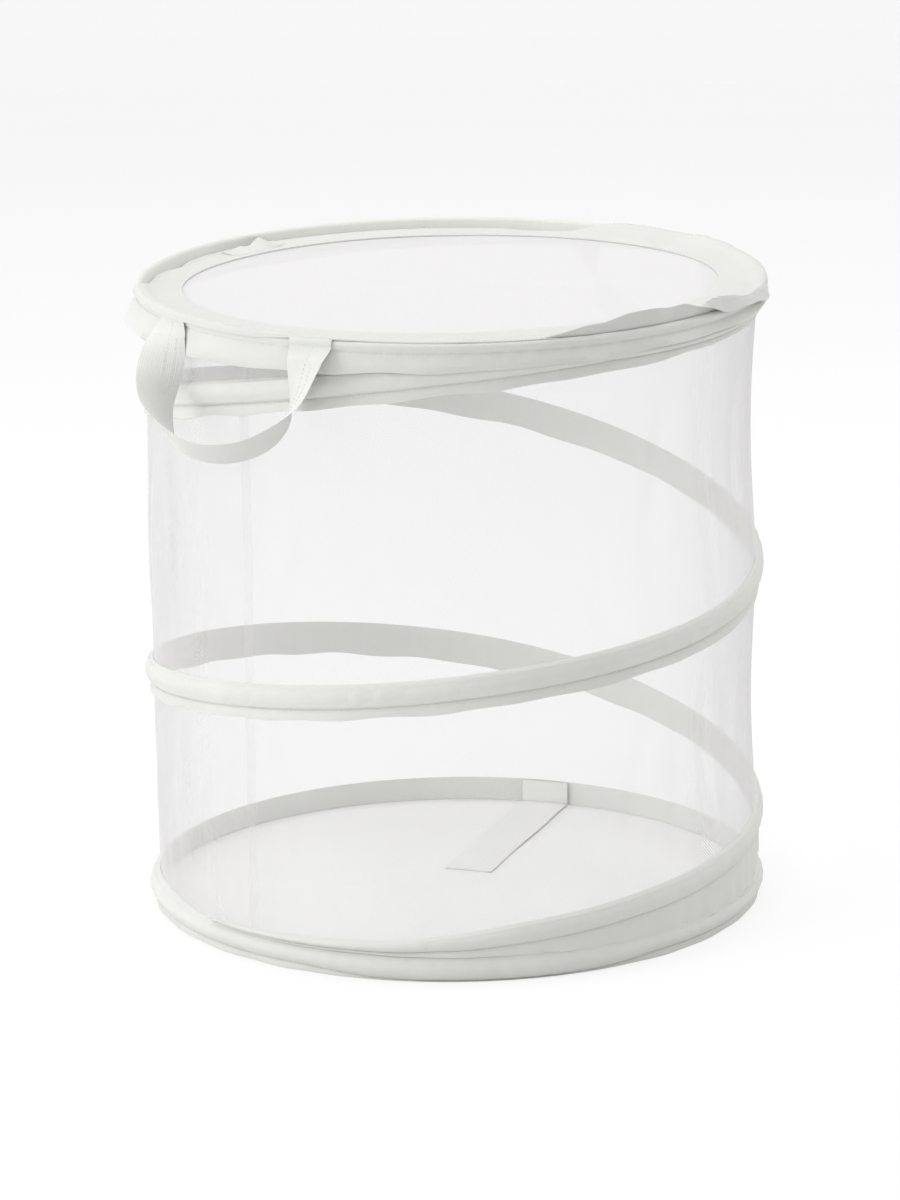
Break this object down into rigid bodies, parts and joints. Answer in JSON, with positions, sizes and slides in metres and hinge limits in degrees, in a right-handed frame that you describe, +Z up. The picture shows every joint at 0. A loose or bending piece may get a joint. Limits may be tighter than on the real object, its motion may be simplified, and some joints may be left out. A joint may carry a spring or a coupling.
{
  "type": "pop up laundry hamper",
  "caption": "Round pop-up laundry hamper of sheer net on a spiral spring wire, with fabric-cased rings, a sewn net lid, webbing carry handles and a fold-flat strap.",
  "frame": {"origin": "middle of the base panel's underside, on the floor", "axes": "+Z up along the hamper's axis, -Y towards the picture's camera, +X to its right; the front handle hangs at 228 degrees from +X and the lid's seam runs round 115 degrees"},
  "size_m": [0.4505, 0.4588, 0.4688],
  "materials": {
    "tape": "light grey woven polyester casing tape with a soft sheen",
    "net": "sheer white knitted polyester net",
    "border": "plain woven white polyester",
    "webbing": "woven white webbing",
    "steel": "drawn spring steel wire",
    "plastic": "moulded end cap",
    "hook": "white hook tape"
  },
  "bodies": {
    "base": {"bottom_ring_wire": "steel", "bottom_ring_sleeve": "steel", "bottom_casing": "tape", "base_panel": "border", "wall_net": "net", "wall_seam_tape": "tape", "spiral_casing": "tape", "spiral_wire": "steel", "spiral_top_cap": "plastic", "spiral_bottom_cap": "plastic", "strap_anchor": "webbing"},
    "rim": {"top_ring_wire": "steel", "top_ring_sleeve": "steel", "top_casing": "tape", "lid_back_net": "net", "lid_back_border": "border", "handle_front_tab_left": "webbing", "handle_front_tab_right": "webbing", "handle_back_tab_left": "webbing", "handle_back_tab_right": "webbing"},
    "lid": {"lid_net": "net", "lid_border": "border"},
    "handle_front": {"handle_front_loop": "webbing"},
    "handle_back": {"handle_back_loop": "webbing"},
    "strap": {"fold_strap": "webbing", "fold_strap_patch": "hook"},
    "tab": {"closing_tab": "webbing", "closing_tab_patch": "hook"}
  },
  "joints": [
    {"name": "collapse", "type": "slide", "parent": "base", "child": "rim", "axis": [0, 0, 1], "range_m": [-0.34, 0], "stiffness_N_per_m": 25, "springref_m": 0.2, "deforming": ["wall_net", "wall_seam_tape", "spiral_casing", "spiral_wire", "spiral_top_cap", "spiral_bottom_cap"]},
    {"name": "lid_hinge", "type": "hinge", "parent": "rim", "child": "lid", "pos_m": [-0.07176, 0.1539, 0.4482], "axis": [-0.9063, -0.4226, 0], "range_deg": [0, 100]},
    {"name": "handle_front_swing", "type": "hinge", "parent": "rim", "child": "handle_front", "pos_m": [-0.14912, -0.16446, 0.441], "axis": [-0.7408, 0.6717, 0], "range_deg": [0, 150]},
    {"name": "handle_back_swing", "type": "hinge", "parent": "rim", "child": "handle_back", "pos_m": [0.14912, 0.16446, 0.441], "axis": [-0.7408, 0.6717, 0], "range_deg": [-150, 0]},
    {"name": "strap_lift", "type": "hinge", "parent": "base", "child": "strap", "pos_m": [0.06792, 0.20298, 0.0032], "axis": [-0.9426, 0.3338, 0], "range_deg": [0, 85]},
    {"name": "tab_lift", "type": "hinge", "parent": "rim", "child": "tab", "pos_m": [-0.12662, 0.16803, 0.4503], "axis": [-0.7071, 0.7071, 0], "range_deg": [0, 100]}
  ]
}
